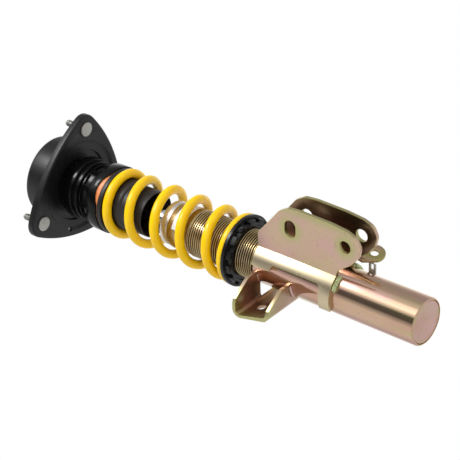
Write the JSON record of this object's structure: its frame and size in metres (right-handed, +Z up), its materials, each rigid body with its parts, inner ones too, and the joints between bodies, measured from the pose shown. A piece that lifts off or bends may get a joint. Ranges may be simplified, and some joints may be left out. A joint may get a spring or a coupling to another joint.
{
  "type": "coilover strut",
  "caption": "Front suspension strut with a threaded body, adjustable lower spring collar, coil spring, dust boot, studded top mount and welded knuckle, link and hose brackets.",
  "frame": {"origin": "on the strut's axis, in the plane of the top mount flange's upper face, at the centre of the stud circle", "axes": "+Z up along the strut's axis through the top mount, +X the way the knuckle ears reach, +Y across the two ears from the front half to the rear half"},
  "size_m": [0.1546, 0.1545, 0.538],
  "materials": {
    "black_pressing": "semi-gloss black coat on pressed steel",
    "zinc_steel": "matt grey zinc plate",
    "mount_rubber": "moulded rubber",
    "bearing_shell": "glossy black moulding",
    "bearing_steel": "ground bearing steel",
    "chrome_rod": "hard chrome, polished",
    "stop_foam": "microcellular foam",
    "damper_steel": "machined steel",
    "band_plastic": "filled low-friction band",
    "seat_moulding": "black filled moulding",
    "orange_slip": "orange low-friction moulding",
    "pad_rubber": "black moulded pad",
    "boot_rubber": "charcoal moulded rubber",
    "spring_yellow": "glossy yellow powder coat",
    "yellow_zinc": "iridescent yellow passivated zinc",
    "weld_metal": "passivated weld bead",
    "clip_steel": "bright sheet steel",
    "gland_alloy": "turned aluminium",
    "label_blank": "blank white label",
    "collar_black": "black anodised",
    "screw_steel": "plain steel socket screw"
  },
  "bodies": {
    "top_mount": {"mount_flange": "black_pressing", "mount_drum": "black_pressing", "mount_studs": "zinc_steel", "bearing_carrier_plate": "black_pressing", "isolator_sleeve": "zinc_steel", "rubber_isolator": "mount_rubber", "rod_washer": "zinc_steel", "rod_nut": "zinc_steel", "bearing_cap": "bearing_shell", "piston_rod": "chrome_rod", "bump_stop": "stop_foam", "bump_stop_washer": "black_pressing", "damper_piston": "damper_steel", "piston_band": "band_plastic", "piston_nut": "zinc_steel"},
    "upper_seat": {"bearing_balls": "bearing_steel", "bearing_lower_race": "bearing_steel", "upper_spring_seat": "seat_moulding", "spring_thrust_ring": "orange_slip", "upper_spring_pad": "pad_rubber", "dust_boot": "boot_rubber"},
    "strut_body": {"strut_tube": "yellow_zinc", "tube_end_plate": "yellow_zinc", "gland_nut": "gland_alloy", "rod_seal": "band_plastic", "rod_guide": "damper_steel", "pressure_tube": "damper_steel", "foot_valve": "damper_steel", "body_label": "label_blank", "front_knuckle_bracket": "yellow_zinc", "rear_knuckle_bracket": "yellow_zinc", "bracket_welds": "weld_metal", "link_bracket": "yellow_zinc", "brake_hose_tab": "yellow_zinc", "hose_clip": "clip_steel"},
    "spring_carrier": {"coil_spring": "spring_yellow"},
    "collar": {"spring_collar": "collar_black", "collar_grub_screw": "screw_steel"}
  },
  "joints": [
    {"name": "steer_swivel", "type": "hinge", "parent": "top_mount", "child": "upper_seat", "pos_m": [0, 0, -0.0215], "axis": [0, 0, 1], "continuous": true},
    {"name": "damper_stroke", "type": "slide", "parent": "upper_seat", "child": "strut_body", "axis": [0, 0, 1], "range_m": [0, 0.06], "stiffness_N_per_m": 3000, "springref_m": -0.01, "deforming": ["dust_boot", "coil_spring"]},
    {"name": "collar_height", "type": "slide", "parent": "strut_body", "child": "spring_carrier", "axis": [0, 0, 1], "range_m": [-0.022, 0]},
    {"name": "collar_turn", "type": "hinge", "parent": "spring_carrier", "child": "collar", "pos_m": [0, 0, -0.257], "axis": [0, 0, 1], "range_deg": [-2790, 60]}
  ],
  "couplings": [
    {"joint": "collar_turn", "follows": "collar_height", "rad_per_m": 2094.4}
  ]
}
